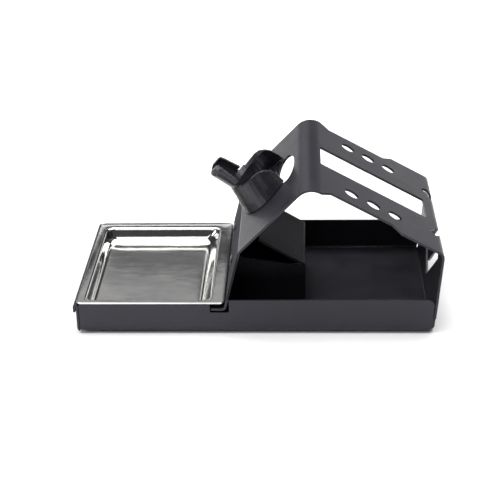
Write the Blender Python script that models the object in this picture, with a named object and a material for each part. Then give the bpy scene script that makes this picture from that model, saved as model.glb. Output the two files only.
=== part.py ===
"""Bench stand for a soldering iron, with a lift-out tray.

One folded sheet of powder-coated steel makes the open base and the arch over
it.  A moulded holder is clipped into the arch and takes the iron, a folded
guard under it keeps the hot tip off the base, and a drawn stainless tray drops
onto the left end.  Lengths are in metres, +Z is up, +X runs from the tray to
the arch, and the stand is symmetrical about the XZ plane.
"""

import math

import bmesh
import bpy
from mathutils import Matrix, Vector

# ---- driving dimensions -------------------------------------------------

SHEET = 0.0010              # thickness of the folded steel
CLEARANCE = 0.0003          # gap between pieces that touch
BEND = 0.0020               # outer radius of the base bends
BEND_STEPS = 5              # flats in each small bend
SHARP = 0.0001              # radius of a corner that is left sharp
OVERCUT = 0.0050            # how far cutting shapes run past the metal

HALF_DEPTH = 0.0425         # base and arch, half of their depth in Y
FOOT_HEIGHT = 0.0010        # rubber feet under the base
FOOT_RADIUS = 0.0050
FOOT_INSET_X = 0.0120       # foot centres from the ends of the floor
FOOT_Y = 0.0330

# Outer outline of the folded sheet in XZ, heights from the floor's underside
LEFT_X = -0.0789            # outer face of the left end wall
RIGHT_X = 0.0784            # foot of the right end wall
FOLD = (0.0815, 0.0373)     # right end wall meets roof
RIDGE = (0.0230, 0.0698)    # roof meets holder plate
HIP = (-0.0070, 0.0388)     # holder plate meets the lower plate
ANKLE = (-0.0138, 0.0115)   # lower plate meets the foot
FOOT_END_X = -0.0194        # free end of the arch's foot
FOLD_BEND = 0.0030
RIDGE_BEND = 0.0085
HIP_BEND = 0.0022
ANKLE_BEND = 0.0010
RIDGE_STEPS = 12

LEFT_WALL_HEIGHT = 0.0134   # walls under the tray
WALL_HEIGHT = 0.0155        # front and back walls beside the arch
HEM_HEIGHT = 0.0037         # folded-over hem on the left end wall
HEM_BEND = 0.00012          # inside radius of the hem, just under half its gap
WALL_CORNER = 0.0025
WALL_LAP = 0.0030           # how far each wall's sheet runs on into the floor

NOTCH = (-0.0199, -0.0115)  # slot in both walls for the arch's foot, X span
NOTCH_FLOOR = 0.0095
NOTCH_CORNER = 0.0007
NOTCH_LIP = 0.0004          # radius at the notch's upper left corner
RELIEF_HEIGHT = 0.0062      # corners cleared at the foot of the right end wall

# Openings in the roof, measured up its slope from the fold
WINDOW = (0.0060, 0.0602)
WINDOW_HALF_DEPTH = 0.0102
WINDOW_CORNER = 0.0006
TIP_HOLE_PITCH = 0.0109
TIP_HOLE_FIRST = 0.0234
TIP_HOLE_Y = 0.0270
TIP_HOLE_RADIUS = 0.00343
RECESS = (0.0256, 0.0552)   # edges step in between these distances
RECESS_DEPTH = 0.0047
# Upper and lower V-shaped slots
CHEVRON_WIDTH = (0.0042, 0.0056)
CHEVRON_SLOPE = math.radians(37.5)
CHEVRON_HALF_SPAN = (0.0246, 0.0276)   # arm ends, from the middle in Y
CHEVRON_APEX = (0.0146, 0.0272)        # lowest points, below the fold

# Openings in the holder plate, measured up its slope from the hip: a seat for
# the holder and an oval behind it
SEAT = (0.0040, 0.0218)
SEAT_HALF_DEPTH = 0.0146
SEAT_CORNER = 0.0080
OVAL_CENTRE = 0.0295
OVAL_HALF = (0.0051, 0.0140)

# Stainless tray
TRAY_X = (-0.0787, -0.0135)
TRAY_HALF_DEPTH = 0.0424
TRAY_TOP = 0.0142
TRAY_SHEET = 0.0005
TRAY_CORNER = 0.0024
BOWL_X = (-0.0749, -0.0198)
BOWL_Y = (-0.0388, 0.0358)
BOWL_FLOOR_X = (-0.0730, -0.0245)
BOWL_FLOOR_Y = (-0.0372, 0.0340)
BOWL_FLOOR = 0.0080
BOWL_CORNER = 0.0042
# How far across the bowl's wall, and how far down it, each ring of the bowl is
BOWL_PROFILE = ((-0.18, 0.00), (-0.02, 0.025), (0.08, 0.09), (0.16, 0.20),
                (0.84, 0.80), (0.92, 0.91), (1.02, 0.975), (1.18, 1.00))

# Tip guard under the holder plate
GUARD_SHEET = 0.0010
GUARD_HALF_DEPTH = 0.0224
GUARD_X = 0.0220            # outer face of the upright panel
GUARD_TOP = 0.0233
GUARD_SHELF = (0.0015, 0.0356)   # free end of the sloping shelf
GUARD_SIDE_LEFT = 0.0268    # height of the side panels beside the lower plate
GUARD_SIDE_RIGHT = 0.0222
GUARD_BOTTOM = 0.0018
GUARD_FLANGE = 0.0085       # inward reach of the flanges behind the plate
GUARD_FLANGE_BOTTOM = 0.0140
GUARD_BEND = 0.0018
RIVET_HEIGHT = 0.0228
RIVET_Y = 0.0175
RIVET_SHANK = 0.0012
RIVET_HEAD = 0.0024
RIVET_HEAD_HEIGHT = 0.0009
RIVET_TAIL = 0.0018

# Moulded holder, in the plate's frame.  Each body row is the height above the
# plate, then centre and half length up the slope, then half width.
HOLDER_OUTER = (
    (0.0003, 0.0176, 0.0156, 0.0182),
    (0.0040, 0.0180, 0.0147, 0.0172),
    (0.0080, 0.0187, 0.0138, 0.0158),
    (0.0122, 0.0196, 0.0136, 0.0142),
)
HOLDER_INNER = (
    (0.0015, 0.0210, 0.0150, 0.0139),
    (0.0040, 0.0211, 0.0141, 0.0134),
    (0.0080, 0.0214, 0.0132, 0.0127),
    (0.0102, 0.0214, 0.0131, 0.0123),
    (0.0136, 0.0214, 0.0133, 0.0147),
)
OVAL_ROOM = 0.0121          # half width kept clear over the plate's oval
BORE_CENTRE = 0.0129        # hole in the holder's floor for the iron's barrel
BORE_HALF = (0.0069, 0.0124)
# Gutter-shaped rest: height, line of its two edges, depth and half width
REST_OUTER = (
    (0.0060, 0.0141, 0.0063, 0.0104),
    (0.0134, 0.0132, 0.0070, 0.0094),
    (0.0218, 0.0118, 0.0074, 0.0074),
    (0.0232, 0.0116, 0.0073, 0.0067),
    (0.0243, 0.0114, 0.0071, 0.0055),
    (0.0250, 0.0113, 0.0069, 0.0041),
)
REST_WALL = 0.0018
# Side outline of the holder's rim, distance up the plate and height above it
HOLDER_RIM = (
    (0.0005, -0.0050), (0.0005, 0.0100), (0.0053, 0.0104), (0.0067, 0.0108),
    (0.0043, 0.0208), (0.0046, 0.0224), (0.0054, 0.0237), (0.0068, 0.0244),
    (0.0105, 0.0244), (0.0112, 0.0240), (0.0131, 0.0134), (0.0137, 0.0114),
    (0.0206, 0.0119), (0.0231, 0.0116), (0.0256, 0.0101), (0.0274, 0.0081),
    (0.0284, 0.0041), (0.0283, -0.0050),
)
SKIRT_DEPTH = 0.0030        # skirt below the plate's top face
SKIRT_RISE = 0.0010         # overlap of the skirt into the holder's floor
HOOK_REACH = 0.0014
HOOK_HALF_LENGTH = 0.0035

RING_POINTS = 40            # points round the holder's rings
RIVET_POINTS = 20
GRID_DIGITS = 7             # outlines are rounded to a tenth of a micron

# ---- materials ----------------------------------------------------------

STEEL_BLACK = (0.045, 0.045, 0.050)
STAINLESS = (0.60, 0.60, 0.59)
PLASTIC_BLACK = (0.030, 0.030, 0.032)
RUBBER_BLACK = (0.015, 0.015, 0.015)


def make_material(name, colour, roughness, metallic):
    """A plain material for one kind of piece."""
    material = bpy.data.materials.new(name)
    material.use_nodes = True
    shader = material.node_tree.nodes["Principled BSDF"]
    shader.inputs["Base Color"].default_value = (*colour, 1.0)
    shader.inputs["Roughness"].default_value = roughness
    shader.inputs["Metallic"].default_value = metallic
    material.diffuse_color = (*colour, 1.0)
    return material


# ---- outlines -----------------------------------------------------------

def arc(centre, radius, start, end, steps):
    """Points on a circle from one angle to another, both ends included."""
    points = []
    for step in range(steps + 1):
        angle = start + (end - start) * step / steps
        points.append(Vector((centre[0] + radius * math.cos(angle),
                              centre[1] + radius * math.sin(angle))))
    return points


def circle(centre, radius, points=28):
    """Closed outline of a circle."""
    return arc(centre, radius, 0.0, 2.0 * math.pi, points)[:-1]


def ellipse(centre, half):
    """Closed outline of an ellipse whose centre lies on the middle line."""
    unit = circle((0.0, 0.0), 1.0, RING_POINTS)
    return [Vector((centre + half[0] * p.x, half[1] * p.y)) for p in unit]


def rounded_path(corners):
    """Join corners given as (point, radius, steps) by lines and tangent arcs."""
    path = [Vector(corners[0][0])]
    for before, here, after in zip(corners, corners[1:], corners[2:]):
        point, radius, steps = Vector(here[0]), here[1], here[2]
        back = (Vector(before[0]) - point).normalized()
        ahead = (Vector(after[0]) - point).normalized()
        half = math.acos(max(-1.0, min(1.0, back.dot(ahead)))) / 2.0
        centre = point + (back + ahead).normalized() * radius / math.sin(half)
        first = point + back * radius / math.tan(half) - centre
        last = point + ahead * radius / math.tan(half) - centre
        start = math.atan2(first.y, first.x)
        turn = math.atan2(last.y, last.x) - start
        turn = (turn + math.pi) % (2.0 * math.pi) - math.pi
        path += arc(centre, radius, start, start + turn, steps)
    path.append(Vector(corners[-1][0]))
    return path


def offset_left(path, distance):
    """The path moved sideways to its left, with mitred joints."""
    normals = []
    for here, there in zip(path, path[1:]):
        run = (there - here).normalized()
        normals.append(Vector((-run.y, run.x)))
    moved = [path[0] + normals[0] * distance]
    for point, before, after in zip(path[1:-1], normals, normals[1:]):
        joint = (before + after).normalized()
        moved.append(point + joint * distance / joint.dot(after))
    moved.append(path[-1] + normals[-1] * distance)
    return moved


def rounded_rectangle(low, high, radius, steps=6):
    """Counter-clockwise outline of a rectangle with round corners."""
    quarter = math.pi / 2.0
    centres = ((high[0] - radius, high[1] - radius),
               (low[0] + radius, high[1] - radius),
               (low[0] + radius, low[1] + radius),
               (high[0] - radius, low[1] + radius))
    outline = []
    for index, centre in enumerate(centres):
        outline += arc(centre, radius, index * quarter, (index + 1) * quarter, steps)
    return outline


def rectangle(low, high):
    """Closed outline of a rectangle with sharp corners."""
    return [Vector(low), Vector((high[0], low[1])), Vector(high), Vector((low[0], high[1]))]


def line_at(start, end, height):
    """X on the line through two XZ points, at a height."""
    return start[0] + (end[0] - start[0]) * (height - start[1]) / (end[1] - start[1])


# ---- solids -------------------------------------------------------------

def add_object(name, mesh, material=None):
    """Link a mesh into the scene under the given name."""
    thing = bpy.data.objects.new(name, mesh)
    bpy.context.collection.objects.link(thing)
    if material:
        mesh.materials.append(material)
    return thing


def finish_mesh(shape, name, smooth_angle=math.radians(35.0)):
    """Turn a bmesh into a mesh with outward faces and smooth round stretches."""
    bmesh.ops.recalc_face_normals(shape, faces=shape.faces[:])
    mesh = bpy.data.meshes.new(name)
    shape.to_mesh(mesh)
    shape.free()
    mesh.shade_smooth()
    mesh.set_sharp_from_angle(angle=smooth_angle)
    return mesh


def add_prism(shape, outline, low, high, place):
    """Extrude an outline from low to high along its third axis, then place it."""
    flat = [(round(point[0], GRID_DIGITS), round(point[1], GRID_DIGITS)) for point in outline]
    bottom = [shape.verts.new(place @ Vector((p[0], p[1], low))) for p in flat]
    top = [shape.verts.new(place @ Vector((p[0], p[1], high))) for p in flat]
    shape.faces.new(bottom[::-1])
    shape.faces.new(top)
    for index in range(len(outline)):
        after = (index + 1) % len(outline)
        shape.faces.new((bottom[index], bottom[after], top[after], top[index]))


def add_loft(shape, rings, place):
    """Skin a stack of rings that have the same number of points, capped."""
    rows = [[shape.verts.new(place @ Vector(point)) for point in ring] for ring in rings]
    shape.faces.new(rows[0][::-1])
    shape.faces.new(rows[-1])
    for below, above in zip(rows, rows[1:]):
        for index in range(len(below)):
            after = (index + 1) % len(below)
            shape.faces.new((below[index], below[after], above[after], above[index]))


# An outline drawn in XZ and extruded along Y
SIDE_VIEW = Matrix(((1, 0, 0, 0), (0, 0, -1, 0), (0, 1, 0, 0), (0, 0, 0, 1)))
# An outline drawn in YZ and extruded along X
END_VIEW = Matrix(((0, 0, 1, 0), (1, 0, 0, 0), (0, 1, 0, 0), (0, 0, 0, 1)))


def prism_object(name, outline, low, high, place, material=None):
    """One extruded solid as an object."""
    shape = bmesh.new()
    add_prism(shape, outline, low, high, place)
    return add_object(name, finish_mesh(shape, name), material)


def sheet_outline(path, thickness):
    """Closed outline of a sheet whose outer face follows the path."""
    return path + offset_left(path, thickness)[::-1]


def hide_as_tool(tool):
    """Keep a cutting or joining shape out of the finished model."""
    tool.hide_render = True
    tool.display_type = 'WIRE'


def combine(target, tool, operation):
    """Add a Boolean modifier that leaves its tool hidden."""
    hide_as_tool(tool)
    modifier = target.modifiers.new(operation.title(), 'BOOLEAN')
    modifier.operation = operation
    modifier.solver = 'EXACT'
    modifier.object = tool


def slope_frame(low, high):
    """Frame on a sloping sheet: X up the slope, Y across, Z out of the sheet."""
    run = Vector((high[0] - low[0], 0.0, high[1] - low[1])).normalized()
    across = Vector((0.0, 1.0, 0.0))
    out = run.cross(across)
    if out.z < 0.0:
        across, out = -across, -out
    turn = Matrix((run, across, out)).transposed().to_4x4()
    return Matrix.Translation((low[0], 0.0, low[1])) @ turn


# ---- folded body --------------------------------------------------------

def strip_outline():
    """Closed XZ outline of the long folded strip, from the hem to the arch's foot."""
    hem_x = LEFT_X - CLEARANCE
    hem_top = LEFT_WALL_HEIGHT - SHEET
    outer = rounded_path((
        ((hem_x, LEFT_WALL_HEIGHT - HEM_HEIGHT), 0, 0),
        ((hem_x, hem_top), HEM_BEND, BEND_STEPS),
        ((LEFT_X, hem_top), HEM_BEND, BEND_STEPS),
        ((LEFT_X, 0.0), BEND, BEND_STEPS),
        ((RIGHT_X, 0.0), BEND, BEND_STEPS),
        (FOLD, FOLD_BEND, BEND_STEPS),
        (RIDGE, RIDGE_BEND, RIDGE_STEPS),
        (HIP, HIP_BEND, BEND_STEPS),
        (ANKLE, ANKLE_BEND, BEND_STEPS),
        ((FOOT_END_X, ANKLE[1]), 0, 0),
    ))
    return sheet_outline(outer, SHEET)


def end_wall_inner_x(height):
    """Inner face of the leaning right end wall at a height."""
    return line_at((RIGHT_X, 0.0), FOLD, height) - SHEET


def make_side_walls():
    """Front and back walls with their bends, one joined tool for the body."""
    section = rounded_path((
        ((-HALF_DEPTH, WALL_HEIGHT), 0, 0),
        ((-HALF_DEPTH, 0.0), BEND, BEND_STEPS),
        ((BEND + WALL_LAP - HALF_DEPTH, 0.0), 0, 0),
    ))
    section = sheet_outline(section, SHEET)
    mirrored = [Vector((-p.x, p.y)) for p in section[::-1]]
    left, right = LEFT_X + SHEET + CLEARANCE, RIGHT_X
    shape = bmesh.new()
    add_prism(shape, section, left, right, END_VIEW)
    add_prism(shape, mirrored, left, right, END_VIEW)
    walls = add_object("tool_side_walls", finish_mesh(shape, "side_walls"))
    combine(walls, make_wall_trimmer(left), 'DIFFERENCE')
    return walls


def make_wall_trimmer(left):
    """Cut the walls' ends round, step them down under the tray and notch them."""
    reach = HALF_DEPTH + OVERCUT
    over, beyond = WALL_HEIGHT + OVERCUT, RIGHT_X + OVERCUT
    foot_x = end_wall_inner_x(BEND) - CLEARANCE
    top_x = end_wall_inner_x(WALL_HEIGHT) - 2.0 * CLEARANCE
    right_end = rounded_path((
        ((foot_x - 2.0 * BEND, -OVERCUT), 0, 0),
        ((foot_x - 2.0 * BEND, 0.0), SHARP, 1),
        ((foot_x, 0.0), BEND, BEND_STEPS),
        ((top_x, WALL_HEIGHT), WALL_CORNER, BEND_STEPS),
        ((top_x - 2.0 * WALL_CORNER, WALL_HEIGHT), SHARP, 1),
        ((top_x - 2.0 * WALL_CORNER, over), 0, 0),
    )) + [Vector((beyond, over)), Vector((beyond, -OVERCUT))]
    left_end = rounded_path((
        ((left - OVERCUT, BEND), 0, 0),
        ((left, BEND), SHARP, 1),
        ((left, 0.0), 0.9 * BEND, BEND_STEPS),
        ((left + 2.0 * BEND, 0.0), SHARP, 1),
        ((left + 2.0 * BEND, -OVERCUT), 0, 0),
    )) + [Vector((left - OVERCUT, -OVERCUT))]
    step = rounded_path((
        ((left - OVERCUT, LEFT_WALL_HEIGHT), 0, 0),
        ((NOTCH[0], LEFT_WALL_HEIGHT), NOTCH_LIP, 2),
        ((NOTCH[0], NOTCH_FLOOR), NOTCH_CORNER, BEND_STEPS),
        ((NOTCH[1], NOTCH_FLOOR), NOTCH_CORNER, BEND_STEPS),
        ((NOTCH[1], over), 0, 0),
    )) + [Vector((left - OVERCUT, over))]
    shape = bmesh.new()
    for outline in (right_end, left_end, step):
        add_prism(shape, outline, -reach, reach, SIDE_VIEW)
    return add_object("tool_wall_trim", finish_mesh(shape, "wall_trim"))


def chevron_arm(which, near, far, side):
    """One straight slot, between two Y distances; its X runs down from the fold."""
    rise = math.tan(CHEVRON_SLOPE)
    square = Vector((math.cos(CHEVRON_SLOPE), math.sin(CHEVRON_SLOPE)))
    square *= CHEVRON_WIDTH[which] / 2.0
    ends = [Vector((CHEVRON_APEX[which] - y * rise, y)) for y in (near, far)]
    corners = [ends[0] + square, ends[1] + square, ends[1] - square, ends[0] - square]
    return [Vector((p.x, side * p.y)) for p in corners]


def chevron(which, half_span):
    """Whole V outline on a flat face; its X runs down from the fold."""
    right = chevron_arm(which, 0.0, half_span, 1.0)
    left = chevron_arm(which, 0.0, half_span, -1.0)
    tip = Vector((CHEVRON_WIDTH[which] / 2.0 / math.cos(CHEVRON_SLOPE), 0.0))
    point = Vector((CHEVRON_APEX[which], 0.0))
    return [point + tip, right[1], right[2], point - tip, left[2], left[1]]


def make_roof_openings():
    """Window, tip holes, stepped edges and the upper chevron on the roof."""
    place = slope_frame(FOLD, RIDGE)
    deep = 3.0 * SHEET
    shape = bmesh.new()
    window = rounded_rectangle((WINDOW[0], -WINDOW_HALF_DEPTH),
                               (WINDOW[1], WINDOW_HALF_DEPTH), WINDOW_CORNER, 3)
    add_prism(shape, window, -deep, deep, place)
    for side in (-1.0, 1.0):
        for row in range(3):
            centre = (TIP_HOLE_FIRST + row * TIP_HOLE_PITCH, side * TIP_HOLE_Y)
            add_prism(shape, circle(centre, TIP_HOLE_RADIUS), -deep, deep, place)
        inner, outer = side * (HALF_DEPTH - RECESS_DEPTH), side * (HALF_DEPTH + OVERCUT)
        slant = RECESS_DEPTH + OVERCUT
        edge = [Vector((RECESS[0] - slant, outer)), Vector((RECESS[0], inner)),
                Vector((RECESS[1], inner)), Vector((RECESS[1] + slant, outer))]
        add_prism(shape, edge, -deep, deep, place)
        near = (CHEVRON_APEX[0] - FOLD_BEND) / math.tan(CHEVRON_SLOPE)
        arm = chevron_arm(0, near, CHEVRON_HALF_SPAN[0], side)
        add_prism(shape, [Vector((-p.x, p.y)) for p in arm], -deep, deep, place)
    return add_object("tool_roof_openings", finish_mesh(shape, "roof_openings"))


def make_end_wall_openings():
    """Both chevrons where they lie on the right end wall."""
    place = slope_frame(FOLD, (RIGHT_X, 0.0))
    deep = 2.5 * SHEET
    upper_span = (CHEVRON_APEX[0] + FOLD_BEND) / math.tan(CHEVRON_SLOPE)
    shape = bmesh.new()
    add_prism(shape, chevron(0, upper_span), -deep, deep, place)
    add_prism(shape, chevron(1, CHEVRON_HALF_SPAN[1]), -deep, deep, place)
    return add_object("tool_end_wall_openings", finish_mesh(shape, "end_wall_openings"))


def make_plate_openings():
    """Seat for the holder and the oval behind it."""
    seat = rounded_rectangle((SEAT[0], -SEAT_HALF_DEPTH), (SEAT[1], SEAT_HALF_DEPTH),
                             SEAT_CORNER, 6)
    deep = 3.0 * SHEET
    shape = bmesh.new()
    add_prism(shape, seat, -deep, deep, slope_frame(HIP, RIDGE))
    add_prism(shape, ellipse(OVAL_CENTRE, OVAL_HALF), -deep, deep, slope_frame(HIP, RIDGE))
    return add_object("tool_plate_openings", finish_mesh(shape, "plate_openings"))


def make_edge_cutter(name, low, high):
    """Clear an XZ rectangle along the front and back edges, where the bends are."""
    outline, inner = rectangle(low, high), HALF_DEPTH - BEND
    shape = bmesh.new()
    add_prism(shape, outline, inner, HALF_DEPTH + OVERCUT, SIDE_VIEW)
    add_prism(shape, outline, -HALF_DEPTH - OVERCUT, -inner, SIDE_VIEW)
    return add_object(name, finish_mesh(shape, name))


def make_floor_reliefs():
    """Clear the floor's edges, where the side walls' bends take over."""
    return make_edge_cutter("tool_floor_reliefs",
                            (LEFT_X + SHEET + 0.5 * CLEARANCE, -OVERCUT),
                            (end_wall_inner_x(0.0) + CLEARANCE, BEND + CLEARANCE))


def make_end_wall_reliefs():
    """Clear both lower corners of the end wall beside the side walls."""
    return make_edge_cutter("tool_end_wall_reliefs",
                            (end_wall_inner_x(0.0) - BEND, -OVERCUT),
                            (RIGHT_X + OVERCUT, RELIEF_HEIGHT))


def make_rivet_holes():
    """Two holes through the lower plate for the guard's rivets."""
    return rivet_shapes("tool_rivet_holes", RIVET_SHANK + CLEARANCE, -4.0 * SHEET, 4.0 * SHEET)


def make_body(steel):
    """The base and the arch, folded from one sheet."""
    body = prism_object("stand_body", strip_outline(), -HALF_DEPTH, HALF_DEPTH,
                        SIDE_VIEW, steel)
    combine(body, make_floor_reliefs(), 'DIFFERENCE')
    combine(body, make_end_wall_reliefs(), 'DIFFERENCE')
    combine(body, make_side_walls(), 'UNION')
    combine(body, make_roof_openings(), 'DIFFERENCE')
    combine(body, make_end_wall_openings(), 'DIFFERENCE')
    combine(body, make_plate_openings(), 'DIFFERENCE')
    combine(body, make_rivet_holes(), 'DIFFERENCE')


# ---- guard --------------------------------------------------------------

def lower_plate_frame(height, depth_y):
    """Frame on the lower plate's outer face, Z pointing out to the left."""
    outward = Vector((HIP[0] - ANKLE[0], 0.0, HIP[1] - ANKLE[1])).normalized()
    out = Vector((-outward.z, 0.0, outward.x))
    across = out.cross(outward)
    turn = Matrix((outward, across, out)).transposed().to_4x4()
    return Matrix.Translation((line_at(ANKLE, HIP, height), depth_y, height)) @ turn


def rivet_shapes(name, radius, low, high):
    """A round bar at each rivet position, across the lower plate."""
    shape = bmesh.new()
    bar = circle((0.0, 0.0), radius, RIVET_POINTS)
    for side in (-1.0, 1.0):
        add_prism(shape, bar, low, high, lower_plate_frame(RIVET_HEIGHT, side * RIVET_Y))
    return add_object(name, finish_mesh(shape, name))


def guard_left_x(height):
    """Where the guard meets the inner face of the lower plate."""
    return line_at(ANKLE, HIP, height) + SHEET / math.cos(
        math.atan2(HIP[0] - ANKLE[0], HIP[1] - ANKLE[1])) + CLEARANCE


def make_guard(steel):
    """Folded guard: sloping shelf, upright panel, sides and riveted flanges."""
    outer = rounded_path((
        ((GUARD_X, GUARD_BOTTOM), 0, 0),
        ((GUARD_X, GUARD_TOP), GUARD_BEND, BEND_STEPS),
        (GUARD_SHELF, 0, 0),
    ))
    guard = prism_object("tip_guard", sheet_outline(outer, GUARD_SHEET),
                         -GUARD_HALF_DEPTH, GUARD_HALF_DEPTH, SIDE_VIEW, steel)
    combine(guard, make_guard_sides(), 'UNION')
    holes = rivet_shapes("tool_guard_rivet_holes", RIVET_SHANK + CLEARANCE, -4.0 * SHEET, SHEET)
    combine(guard, holes, 'DIFFERENCE')


def beside_plate(bottom, top, width):
    """Four-sided XZ outline that follows the lower plate's inner face."""
    return [Vector((guard_left_x(bottom), bottom)),
            Vector((guard_left_x(bottom) + width, bottom)),
            Vector((guard_left_x(top) + width, top)),
            Vector((guard_left_x(top), top))]


def make_guard_sides():
    """Both side panels, each turned in along the lower plate."""
    panel = [Vector((guard_left_x(GUARD_BOTTOM), GUARD_BOTTOM)),
             Vector((GUARD_X - 0.5 * GUARD_SHEET, GUARD_BOTTOM)),
             Vector((GUARD_X - 0.5 * GUARD_SHEET, GUARD_SIDE_RIGHT)),
             Vector((guard_left_x(GUARD_SIDE_LEFT), GUARD_SIDE_LEFT))]
    flange = beside_plate(GUARD_FLANGE_BOTTOM, GUARD_SIDE_LEFT - 0.2 * GUARD_SHEET, GUARD_SHEET)
    panels, flanges = bmesh.new(), bmesh.new()
    for side in (-1.0, 1.0):
        low, high = sorted((side * GUARD_HALF_DEPTH, side * (GUARD_HALF_DEPTH - GUARD_SHEET)))
        add_prism(panels, panel, low, high, SIDE_VIEW)
        near = side * (GUARD_HALF_DEPTH - 0.5 * GUARD_SHEET)
        low, high = sorted((near, side * (GUARD_HALF_DEPTH - GUARD_FLANGE)))
        add_prism(flanges, flange, low, high, SIDE_VIEW)
    sides = add_object("tool_guard_sides", finish_mesh(panels, "guard_sides"))
    turned_in = add_object("tool_guard_flanges", finish_mesh(flanges, "guard_flanges"))
    combine(sides, turned_in, 'UNION')
    return sides


def make_rivets(steel):
    """Two blind rivets that hold the guard to the lower plate."""
    tail = -(SHEET + CLEARANCE + GUARD_SHEET + CLEARANCE)
    profile = []
    for step in range(1, BEND_STEPS + 1):
        angle = math.radians(90.0 - 90.0 * step / BEND_STEPS)
        profile.append((RIVET_HEAD * math.cos(angle),
                        CLEARANCE + RIVET_HEAD_HEIGHT * math.sin(angle)))
    profile += [(RIVET_SHANK, CLEARANCE), (RIVET_SHANK, tail),
                (RIVET_TAIL, tail), (RIVET_SHANK, tail - RIVET_HEAD_HEIGHT)]
    for name, side in (("guard_rivet_front", -1.0), ("guard_rivet_back", 1.0)):
        rings = []
        for radius, height in profile:
            ring = circle((0.0, 0.0), radius, RIVET_POINTS)
            rings.append([(p.x, p.y, height) for p in ring])
        shape = bmesh.new()
        add_loft(shape, rings, lower_plate_frame(RIVET_HEIGHT, side * RIVET_Y))
        add_object(name, finish_mesh(shape, name), steel)


# ---- tray ---------------------------------------------------------------

def tray_rings(thickness):
    """Rings from the rim's edge to the bowl's floor, on the top or the underside."""
    top = TRAY_TOP - thickness
    rim = rounded_rectangle((TRAY_X[0], -TRAY_HALF_DEPTH), (TRAY_X[1], TRAY_HALF_DEPTH),
                            TRAY_CORNER)
    rings = [[(p.x, p.y, top) for p in rim]]
    for across, down in BOWL_PROFILE:
        low = (BOWL_X[0] + (BOWL_FLOOR_X[0] - BOWL_X[0]) * across - thickness,
               BOWL_Y[0] + (BOWL_FLOOR_Y[0] - BOWL_Y[0]) * across - thickness)
        high = (BOWL_X[1] + (BOWL_FLOOR_X[1] - BOWL_X[1]) * across + thickness,
                BOWL_Y[1] + (BOWL_FLOOR_Y[1] - BOWL_Y[1]) * across + thickness)
        ring = rounded_rectangle(low, high, BOWL_CORNER + thickness)
        rings.append([(p.x, p.y, top - (TRAY_TOP - BOWL_FLOOR) * down) for p in ring])
    return rings


def make_tray(steel):
    """Drawn tray with a flat rim, open upward; it lifts straight out."""
    centre = Vector(((TRAY_X[0] + TRAY_X[1]) / 2.0, 0.0, TRAY_TOP))
    rings = tray_rings(TRAY_SHEET)[::-1] + tray_rings(0.0)
    shape = bmesh.new()
    add_loft(shape, rings, Matrix.Translation(-centre))
    tray = add_object("solder_tray", finish_mesh(shape, "solder_tray"), steel)
    tray.location = centre


# ---- holder -------------------------------------------------------------

def ellipse_rings(rows):
    """Rings from rows of height, centre, half length and half width."""
    rings = []
    for height, centre, length, width in rows:
        rings.append([(p.x, p.y, height) for p in ellipse(centre, (length, width))])
    return rings


def loft_object(name, rows, place, material=None):
    """Solid through a stack of ellipses."""
    shape = bmesh.new()
    add_loft(shape, ellipse_rings(rows), place)
    return add_object(name, finish_mesh(shape, name), material)


def make_hooks(place):
    """Snap hooks on both sides of the skirt, under the plate."""
    under = -SHEET - CLEARANCE
    root = SEAT_HALF_DEPTH - 3.0 * CLEARANCE
    reach = SEAT_HALF_DEPTH + HOOK_REACH
    middle = (SEAT[0] + SEAT[1]) / 2.0
    shape = bmesh.new()
    along = place @ END_VIEW
    for side in (-1.0, 1.0):
        outline = [(side * root, under), (side * reach, under),
                   (side * (root + 2.0 * CLEARANCE), 0.5 * CLEARANCE - SKIRT_DEPTH),
                   (side * root, 0.5 * CLEARANCE - SKIRT_DEPTH)]
        add_prism(shape, outline, middle - HOOK_HALF_LENGTH, middle + HOOK_HALF_LENGTH, along)
    return add_object("tool_hooks", finish_mesh(shape, "hooks"))


def make_holder_skirt(place):
    """Skirt that fills the seat, as a solid plug."""
    skirt = rounded_rectangle((SEAT[0] + CLEARANCE, CLEARANCE - SEAT_HALF_DEPTH),
                              (SEAT[1] - CLEARANCE, SEAT_HALF_DEPTH - CLEARANCE),
                              SEAT_CORNER - CLEARANCE, 6)
    return prism_object("tool_skirt", skirt, -SKIRT_DEPTH, SKIRT_RISE, place)


def make_floor_openings(place):
    """Bore for the iron, and room over the oval, through the holder's floor."""
    below, above = -2.0 * SKIRT_DEPTH, HOLDER_INNER[0][0] + SHEET
    room = [Vector((OVAL_CENTRE + side * (OVAL_HALF[0] + CLEARANCE), across * OVAL_ROOM))
            for side, across in ((-1.0, -1.0), (1.0, -1.0), (1.0, 1.0), (-1.0, 1.0))]
    shape = bmesh.new()
    add_prism(shape, ellipse(BORE_CENTRE, BORE_HALF), below, above, place)
    add_prism(shape, room, below, above, place)
    return add_object("tool_floor_openings", finish_mesh(shape, "floor_openings"))


def make_holder(plastic):
    """Moulded cup with a gutter-shaped rest, snapped into the plate's seat."""
    place = slope_frame(HIP, RIDGE)
    holder = loft_object("iron_holder", HOLDER_OUTER, place, plastic)
    channel = [(height, edge, depth - REST_WALL, width - REST_WALL)
               for height, edge, depth, width in REST_OUTER]
    channel[-1] = (REST_OUTER[-1][0] + REST_WALL, *channel[-1][1:])
    rim = prism_object("tool_holder_rim", HOLDER_RIM, -HALF_DEPTH, HALF_DEPTH,
                       place @ SIDE_VIEW)
    combine(holder, loft_object("tool_rest", REST_OUTER, place), 'UNION')
    combine(holder, make_holder_skirt(place), 'UNION')
    combine(holder, loft_object("tool_holder_inside", HOLDER_INNER, place), 'DIFFERENCE')
    combine(holder, make_floor_openings(place), 'DIFFERENCE')
    combine(holder, loft_object("tool_rest_channel", channel, place), 'DIFFERENCE')
    combine(holder, rim, 'INTERSECT')
    combine(holder, make_hooks(place), 'UNION')


# ---- feet ---------------------------------------------------------------

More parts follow.
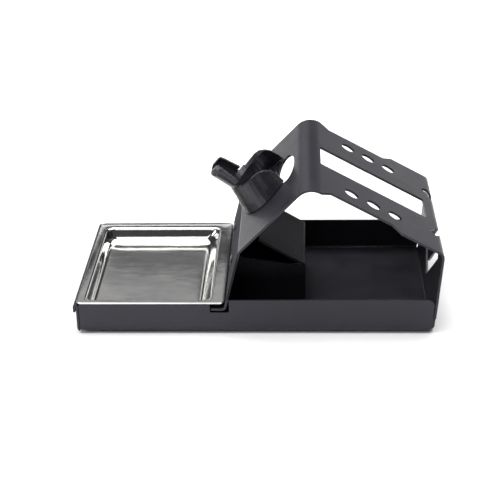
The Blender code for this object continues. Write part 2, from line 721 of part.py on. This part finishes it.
def make_feet(rubber):
    """Four round pads under the corners of the floor."""
    for name, x, y in (("foot_front_left", LEFT_X + FOOT_INSET_X, -FOOT_Y),
                       ("foot_front_right", RIGHT_X - FOOT_INSET_X, -FOOT_Y),
                       ("foot_back_left", LEFT_X + FOOT_INSET_X, FOOT_Y),
                       ("foot_back_right", RIGHT_X - FOOT_INSET_X, FOOT_Y)):
        pad = circle((x, y), FOOT_RADIUS)
        prism_object(name, pad, -FOOT_HEIGHT, -CLEARANCE, Matrix.Identity(4), rubber)


# ---- assembly -----------------------------------------------------------

def body_extent_x():
    """Lowest and highest X of the folded body."""
    across = [point[0] for point in strip_outline()]
    return min(across), max(across)


def build():
    """Make every piece and set the whole stand on its feet, centred in X."""
    for thing in list(bpy.data.objects):
        bpy.data.objects.remove(thing, do_unlink=True)
    coated = make_material("coated_steel_black", STEEL_BLACK, 0.45, 0.0)
    bright = make_material("stainless_pressed", STAINLESS, 0.25, 1.0)
    moulded = make_material("moulded_plastic_black", PLASTIC_BLACK, 0.50, 0.0)
    soft = make_material("rubber_black", RUBBER_BLACK, 0.85, 0.0)
    plated = make_material("rivet_steel_black", STEEL_BLACK, 0.35, 0.0)
    make_body(coated)
    make_guard(coated)
    make_rivets(plated)
    make_tray(bright)
    make_holder(moulded)
    make_feet(soft)
    low, high = body_extent_x()
    frame = bpy.data.objects.new("stand_frame", None)
    bpy.context.collection.objects.link(frame)
    frame.location = (-(low + high) / 2.0, 0.0, FOOT_HEIGHT)
    for thing in bpy.data.objects:
        if thing is not frame and thing.parent is None:
            thing.parent = frame


build()
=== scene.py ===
"""Looks for the soldering iron stand: finishes, soft studio light, floor and camera.

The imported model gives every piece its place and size, in metres, +Z up, with +X
running from the tray to the arch.
"""

import math

import bpy
from mathutils import Matrix, Vector


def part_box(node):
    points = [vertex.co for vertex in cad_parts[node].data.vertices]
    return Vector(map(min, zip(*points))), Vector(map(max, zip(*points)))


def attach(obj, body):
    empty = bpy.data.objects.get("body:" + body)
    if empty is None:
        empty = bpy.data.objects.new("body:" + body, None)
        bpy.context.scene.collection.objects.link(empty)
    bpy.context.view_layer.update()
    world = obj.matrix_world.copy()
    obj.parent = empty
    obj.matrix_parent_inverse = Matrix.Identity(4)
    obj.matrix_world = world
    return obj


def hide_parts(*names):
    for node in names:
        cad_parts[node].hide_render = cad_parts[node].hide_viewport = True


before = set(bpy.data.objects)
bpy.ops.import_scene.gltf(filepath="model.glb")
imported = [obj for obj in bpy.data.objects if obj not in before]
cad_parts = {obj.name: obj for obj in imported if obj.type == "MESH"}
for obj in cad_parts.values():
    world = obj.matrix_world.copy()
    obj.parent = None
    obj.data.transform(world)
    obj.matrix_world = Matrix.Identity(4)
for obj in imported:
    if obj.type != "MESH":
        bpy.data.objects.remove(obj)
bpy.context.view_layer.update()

# ---- camera -------------------------------------------------------------

CAMERA_PLACE = (0.02017, -0.54964, 0.28609)
CAMERA_TURN = math.radians(2.5327)      # to the left of +Y
CAMERA_TILT = math.radians(25.774)      # below the horizon
CAMERA_ROLL = math.radians(-1.2359)
SENSOR = 36.0
LENS = 94.95

# ---- finishes -----------------------------------------------------------

# Darkest and lightest patch of each finish
STEEL = ((0.0095, 0.0092, 0.0125), (0.0140, 0.0136, 0.0180))
GUARD = ((0.0095, 0.0092, 0.0120), (0.0140, 0.0136, 0.0175))
PLASTIC = ((0.0075, 0.0074, 0.0092), (0.0120, 0.0118, 0.0142))
RUBBER = ((0.0080, 0.0080, 0.0080), (0.0150, 0.0150, 0.0145))
RIVET = ((0.0200, 0.0200, 0.0210), (0.0400, 0.0400, 0.0420))
STAINLESS = ((0.50, 0.50, 0.49), (0.64, 0.63, 0.61))
PAPER = ((0.88, 0.88, 0.88), (0.90, 0.90, 0.90))
WORN_AND_LIT_EDGE = (0.050, 0.050, 0.054)                # coat rubbed thin along the edges, plus a painted highlight on them
COAT_TINT = (0.92, 0.89, 1.0, 1.0)          # cool sheen of the black finishes
WHITE = (1.0, 1.0, 1.0, 1.0)
DULL_COAT = 0.98                            # roughness of the lower plate
LOWER_FOLD_X = -0.0076                      # fold at the top of the lower plate
WALL_TOP = 0.0168                           # just above the front and back walls
MASK_BLUR = 0.0002
GLOW_START, GLOW_FULL = 0.9, 2.6            # where the far floor starts to glow, and glows fully
FLOOR_REACH = 12.0


def add_node(tree, kind, inputs=None, **settings):
    """One shader node; an input is given a value or another node's socket."""
    made = tree.nodes.new("ShaderNode" + kind)
    for name, value in settings.items():
        setattr(made, name, value)
    for name, value in (inputs or {}).items():
        if isinstance(value, bpy.types.NodeSocket):
            tree.links.new(value, made.inputs[name])
        else:
            made.inputs[name].default_value = value
    return made


def new_material(name):
    """An empty node material and its shader."""
    material = bpy.data.materials.new(name)
    material.use_nodes = True
    return material, material.node_tree, material.node_tree.nodes["Principled BSDF"]


def noise(tree, place, scale, detail=2.0, roughness=0.5):
    """Noise in object space; features are about one over scale, in metres."""
    made = add_node(tree, "TexNoise", {"Vector": place, "Scale": scale, "Detail": detail,
                                       "Roughness": roughness})
    return made.outputs["Fac"]


def spread(tree, value, low, high, out_low, out_high):
    """Map a range of a grey value onto another, clamped."""
    made = add_node(tree, "MapRange", {"Value": value, "From Min": low, "From Max": high,
                                       "To Min": out_low, "To Max": out_high})
    return made.outputs["Result"]


def blend_colours(tree, factor, first, second):
    """Blend two colours, each a constant or another node's socket, by a grey value."""
    made = add_node(tree, "Mix", data_type='RGBA')
    tree.links.new(factor, made.inputs[0])
    for socket, colour in ((made.inputs[6], first), (made.inputs[7], second)):
        if isinstance(colour, bpy.types.NodeSocket):
            tree.links.new(colour, socket)
        else:
            socket.default_value = (*colour, 1.0)
    return made.outputs[2]


def bump(tree, height, strength, distance, below=None):
    """Bump from a grey value, on top of another bump."""
    inputs = {"Height": height, "Strength": strength, "Distance": distance}
    if below:
        inputs["Normal"] = below
    return add_node(tree, "Bump", inputs).outputs["Normal"]


def rounded_edges(tree, radius):
    """Normal that runs smoothly round the sharp edges of a piece."""
    return add_node(tree, "Bevel", {"Radius": radius}, samples=6).outputs["Normal"]


def edge_wear_and_highlight(tree, rounded, patches):
    """Mask of the sharp edges, broken up by a grey value: edge wear plus a painted edge
    highlight.
    """
    face = add_node(tree, "NewGeometry").outputs["Normal"]
    dot = add_node(tree, "VectorMath", operation='DOT_PRODUCT')
    tree.links.new(rounded, dot.inputs[0])
    tree.links.new(face, dot.inputs[1])
    near = spread(tree, dot.outputs["Value"], 0.99, 0.90, 0.0, 1.0)
    worn_and_lit_edges = add_node(tree, "Math", operation='MULTIPLY')
    tree.links.new(near, worn_and_lit_edges.inputs[0])
    tree.links.new(spread(tree, patches, 0.35, 0.65, 0.35, 1.0), worn_and_lit_edges.inputs[1])
    return worn_and_lit_edges.outputs[0]


def sheltered(tree, place):
    """Mask of the lower plate, which rises above the walls left of the fold."""
    axes = add_node(tree, "SeparateXYZ", {"Vector": place})
    mask = add_node(tree, "Math", operation='MULTIPLY')
    tree.links.new(spread(tree, axes.outputs["X"], LOWER_FOLD_X, LOWER_FOLD_X - MASK_BLUR,
                          0.0, 1.0), mask.inputs[0])
    tree.links.new(spread(tree, axes.outputs["Z"], WALL_TOP, WALL_TOP + MASK_BLUR, 0.0, 1.0),
                   mask.inputs[1])
    return mask.outputs[0]


def coated_finish(name, colours, roughness, grain, depth, ior=1.5, edge=0.0002, dull=False):
    """Black finish: cloudy colour, fine grain in gloss and relief."""
    material, tree, shader = new_material(name)
    place = add_node(tree, "TexCoord").outputs["Object"]
    cloud = noise(tree, place, 70.0, 4.0, 0.6)
    fine = noise(tree, place, grain, 2.0, 0.6)
    peel = noise(tree, place, grain / 4.0, 2.0)
    rounded = rounded_edges(tree, edge)
    coat = blend_colours(tree, spread(tree, cloud, 0.3, 0.7, 0.0, 1.0), *colours)
    # Edges lighter in colour: rubbed coat plus a painted highlight along them.
    worn_and_lit_edges = blend_colours(tree, edge_wear_and_highlight(tree, rounded, peel), coat, WORN_AND_LIT_EDGE)
    tree.links.new(worn_and_lit_edges, shader.inputs["Base Color"])
    mixed = add_node(tree, "Math", operation='ADD')
    tree.links.new(spread(tree, cloud, 0.3, 0.7, roughness[0], roughness[1]), mixed.inputs[0])
    tree.links.new(spread(tree, fine, 0.3, 0.7, -0.04, 0.04), mixed.inputs[1])
    gloss = mixed.outputs[0]
    if dull:
        less = add_node(tree, "Mix", data_type='FLOAT')
        tree.links.new(sheltered(tree, place), less.inputs[0])
        tree.links.new(gloss, less.inputs[2])
        less.inputs[3].default_value = DULL_COAT
        gloss = less.outputs[0]
    tree.links.new(gloss, shader.inputs["Roughness"])
    relief = bump(tree, peel, 0.25, depth * 2.0, rounded)
    relief = bump(tree, fine, 0.35, depth, relief)
    tree.links.new(relief, shader.inputs["Normal"])
    shader.inputs["IOR"].default_value = ior
    shader.inputs["Specular Tint"].default_value = COAT_TINT
    return material


def stainless_finish(name, floor_top, rim_top):
    """Bright sheet with a satin grain in the bowl and a polished rim."""
    material, tree, shader = new_material(name)
    place = add_node(tree, "TexCoord").outputs["Object"]
    height = add_node(tree, "SeparateXYZ", {"Vector": place}).outputs["Z"]
    up = spread(tree, height, floor_top, rim_top, 0.0, 1.0)
    streak_place = add_node(tree, "Mapping", {"Vector": place, "Scale": (60.0, 2600.0, 60.0)})
    streak = noise(tree, streak_place.outputs["Vector"], 1.0, 3.0, 0.6)
    fine = noise(tree, place, 2400.0, 2.0, 0.6)
    cloud = noise(tree, place, 60.0, 4.0, 0.6)
    tree.links.new(blend_colours(tree, spread(tree, cloud, 0.3, 0.7, 0.0, 1.0), *STAINLESS),
                   shader.inputs["Base Color"])
    satin = spread(tree, streak, 0.3, 0.7, 0.09, 0.14)
    polish = spread(tree, cloud, 0.3, 0.7, 0.06, 0.11)
    rough = add_node(tree, "Mix", data_type='FLOAT')
    tree.links.new(up, rough.inputs[0])
    tree.links.new(satin, rough.inputs[2])
    tree.links.new(polish, rough.inputs[3])
    tree.links.new(rough.outputs[0], shader.inputs["Roughness"])
    relief = bump(tree, streak, 0.06, 0.00003)
    relief = bump(tree, fine, 0.18, 0.00003, relief)
    relief = bump(tree, cloud, 0.40, 0.0002, relief)
    tree.links.new(relief, shader.inputs["Normal"])
    shader.inputs["Metallic"].default_value = 1.0
    return material


def floor_finish(name):
    """Plain pale paper that glows far away, where the lights no longer reach."""
    material, tree, shader = new_material(name)
    place = add_node(tree, "TexCoord").outputs["Object"]
    fibre = noise(tree, place, 900.0, 3.0, 0.6)
    tree.links.new(blend_colours(tree, fibre, *PAPER), shader.inputs["Base Color"])
    shader.inputs["Roughness"].default_value = 0.75
    tree.links.new(bump(tree, fibre, 0.1, 0.00005), shader.inputs["Normal"])
    far = add_node(tree, "VectorMath", {0: place}, operation='LENGTH').outputs["Value"]
    tree.links.new(spread(tree, far, GLOW_START, GLOW_FULL, 0.0, 1.0),
                   shader.inputs["Emission Strength"])
    shader.inputs["Emission Color"].default_value = WHITE
    return material


def dress(node, material):
    """Give a CAD node its finish."""
    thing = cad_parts[node]
    thing.data.materials.clear()
    thing.data.materials.append(material)


# ---- pressed tray -------------------------------------------------------

TRAY_SHEET = 0.0005
RIM = (0.0038, 0.0036, 0.0063, 0.0066)      # width of the rim: left, front, right, back
WALL = (0.0019, 0.0016, 0.0047, 0.0018)     # how far each wall slopes in
BOWL_DEPTH = 0.0062
BACK_DROOP = 0.03                           # slope of the back rim, down to the outside
RIM_CORNER = 0.0024
BOWL_CORNER = 0.0036
CORNER_STEPS = 10
# Rings across the rim's edge: inset and drop
EDGE_RINGS = ((0.0, 0.00050), (0.0, 0.00022), (0.00006, 0.00009), (0.00020, 0.00002),
              (0.00045, 0.0))
# Rings down the bowl: share of the wall's slope, extra inset, share of the depth
BOWL_RINGS = ((0.0, -0.0014, 0.0), (0.0, -0.0009, 0.006), (0.0, -0.0005, 0.022),
              (0.0, -0.0002, 0.055), (0.06, 0.0, 0.12), (0.16, 0.0, 0.24),
              (0.50, 0.0, 0.55), (0.80, 0.0, 0.80), (0.92, 0.0002, 0.885),
              (1.0, 0.0006, 0.935), (1.0, 0.0014, 0.960), (1.0, 0.0024, 0.974),
              (1.0, 0.0038, 0.985), (1.0, 0.0058, 0.993), (1.0, 0.0085, 0.998),
              (1.0, 0.0120, 1.0))


def rounded_ring(low, high, radius, height):
    """Points round a rectangle with round corners, at one height."""
    ring = []
    corners = ((high[0] - radius, high[1] - radius), (low[0] + radius, high[1] - radius),
               (low[0] + radius, low[1] + radius), (high[0] - radius, low[1] + radius))
    for quarter, centre in enumerate(corners):
        for step in range(CORNER_STEPS + 1):
            angle = math.radians(90.0 * (quarter + step / CORNER_STEPS))
            ring.append((centre[0] + radius * math.cos(angle),
                         centre[1] + radius * math.sin(angle), height))
    return ring


def tray_side(low, high, lowered):
    """Rings of the tray's upper face, or of its underside, from the rim inward."""
    rings = []
    for inset, drop in EDGE_RINGS:
        if lowered:
            drop = TRAY_SHEET
        ring = rounded_ring((low.x + inset, low.y + inset), (high.x - inset, high.y - inset),
                            RIM_CORNER, high.z - drop)
        start = high.y - RIM[3]
        rings.append([(x, y, z - BACK_DROOP * max(0.0, y - start)) for x, y, z in ring])
    for share, extra, depth in BOWL_RINGS:
        grow = TRAY_SHEET if lowered else 0.0
        inset = [rim + wall * share + extra - grow for rim, wall in zip(RIM, WALL)]
        radius = max(0.0015, BOWL_CORNER + grow - 0.6 * max(extra, 0.0) - 0.0008 * share)
        rings.append(rounded_ring((low.x + inset[0], low.y + inset[1]),
                                  (high.x - inset[2], high.y - inset[3]), radius,
                                  high.z - BOWL_DEPTH * depth - grow))
    return rings


def make_tray(material):
    """Drawn tray with a flat rim, rolled at its edge, and a softly dished floor."""
    low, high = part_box("solder_tray")
    rings = tray_side(low, high, True)[::-1] + tray_side(low, high, False)
    count = len(rings[0])
    points = [point for ring in rings for point in ring]
    faces = [tuple(range(count))[::-1]]
    for row in range(len(rings) - 1):
        for step in range(count):
            after = (step + 1) % count
            faces.append((row * count + step, row * count + after,
                          (row + 1) * count + after, (row + 1) * count + step))
    faces.append(tuple(range((len(rings) - 1) * count, len(rings) * count)))
    mesh = bpy.data.meshes.new("pressed_tray")
    mesh.from_pydata(points, [], faces)
    mesh.materials.append(material)
    mesh.shade_smooth()
    mesh.set_sharp_from_angle(angle=math.radians(50.0))
    tray = bpy.data.objects.new("pressed_tray", mesh)
    bpy.context.scene.collection.objects.link(tray)
    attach(tray, "tray")
    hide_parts("solder_tray")


# ---- stage --------------------------------------------------------------

ROOM = (0.08, 0.08, 0.088, 1.0)
# Name, place, point it faces, size and brightness
SOFT_BOXES = (
    ("light_top", (0.0, 0.12, 1.20), (0.0, 0.05, 0.0), (1.5, 1.3), 5.2),
    ("light_back", (0.36, 0.66, 0.086), (0.36, 0.0, 0.086), (0.62, 0.14), 1.2),
    ("light_back_left", (-0.34, 0.66, 0.480), (-0.34, 0.0, 0.480), (0.62, 0.27), 0.45),
    ("light_rim", (-0.15, 0.66, 0.262), (-0.15, 0.0, 0.262), (0.26, 0.05), 1.25),
    ("light_high_left", (-0.46, 0.70, 0.85), (-0.16, 0.0, 0.0), (0.6, 0.4), 2.4),
    ("light_low", (-0.475, 0.66, 0.06), (-0.475, 0.0, 0.06), (1.05, 0.11), 0.42),
    ("light_left", (-0.80, -0.18, 0.34), (0.0, 0.0, 0.05), (0.34, 0.28), 7.0),
    ("light_front", (-0.35, -0.95, 0.75), (0.0, 0.0, 0.03), (0.6, 0.5), 2.2),
)


def make_floor():
    """Large pale sheet under the stand."""
    side = FLOOR_REACH
    mesh = bpy.data.meshes.new("studio_floor")
    corners = [(-side, -side, 0.0), (side, -side, 0.0), (side, side, 0.0), (-side, side, 0.0)]
    mesh.from_pydata(corners, [], [(0, 1, 2, 3)])
    floor = bpy.data.objects.new("studio_floor", mesh)
    bpy.context.scene.collection.objects.link(floor)
    mesh.materials.append(floor_finish("pale_paper"))


def soft_box(name, place, target, size, radiance):
    """Rectangular light of a given brightness, turned to a point."""
    light = bpy.data.lights.new(name, 'AREA')
    light.shape = 'RECTANGLE'
    light.size, light.size_y = size
    light.energy = radiance * math.pi * size[0] * size[1]
    thing = bpy.data.objects.new(name, light)
    bpy.context.scene.collection.objects.link(thing)
    aim = Vector(target) - Vector(place)
    thing.rotation_mode = 'QUATERNION'
    thing.rotation_quaternion = aim.to_track_quat('-Z', 'Y')
    thing.location = place


def make_lights():
    """Overhead light, pale cards behind, and soft boxes at the left and in front."""
    for name, *setting in SOFT_BOXES:
        soft_box(name, *setting)
    world = bpy.data.worlds.new("studio")
    world.use_nodes = True
    world.node_tree.nodes["Background"].inputs["Color"].default_value = ROOM
    bpy.context.scene.world = world
    bpy.context.scene.view_settings.view_transform = 'Standard'


def make_camera():
    """The photograph's viewpoint."""
    right = Vector((math.cos(CAMERA_TURN), math.sin(CAMERA_TURN), 0.0))
    away = Vector((-math.sin(CAMERA_TURN), math.cos(CAMERA_TURN), 0.0))
    up = Vector((0.0, 0.0, 1.0))
    over = math.sin(CAMERA_TILT) * away + math.cos(CAMERA_TILT) * up
    ahead = math.cos(CAMERA_TILT) * away - math.sin(CAMERA_TILT) * up
    side = math.cos(CAMERA_ROLL) * right + math.sin(CAMERA_ROLL) * over
    top = math.cos(CAMERA_ROLL) * over - math.sin(CAMERA_ROLL) * right
    lens = bpy.data.cameras.new("camera")
    lens.sensor_width = SENSOR
    lens.lens = LENS
    lens.clip_start = 0.01
    camera = bpy.data.objects.new("camera", lens)
    bpy.context.scene.collection.objects.link(camera)
    turn = Matrix((side, top, -ahead)).transposed().to_4x4()
    camera.matrix_world = Matrix.Translation(CAMERA_PLACE) @ turn
    bpy.context.scene.camera = camera


# ---- scene --------------------------------------------------------------

steel = coated_finish("powder_coat_black", STEEL, (0.34, 0.42), 2600.0, 0.00003, 1.46,
                      dull=True)
guard = coated_finish("guard_matt_black", GUARD, (0.46, 0.56), 2600.0, 0.00003, 1.13)
plastic = coated_finish("moulded_plastic_black", PLASTIC, (0.26, 0.34), 3800.0, 0.00002, 1.50)
rubber = coated_finish("foot_rubber_black", RUBBER, (0.70, 0.85), 3000.0, 0.00004)
rivet = coated_finish("rivet_black", RIVET, (0.20, 0.30), 3000.0, 0.00002)
tray_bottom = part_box("solder_tray")[0].z
bright = stainless_finish("pressed_stainless_sheet", tray_bottom + 0.0008, tray_bottom + 0.0020)

dress("stand_body", steel)
dress("tip_guard", guard)
dress("guard_rivet_front", rivet)
dress("guard_rivet_back", rivet)
dress("iron_holder", plastic)
for corner in ("front_left", "front_right", "back_left", "back_right"):
    dress("foot_" + corner, rubber)
make_tray(bright)

make_floor()
make_lights()
make_camera()
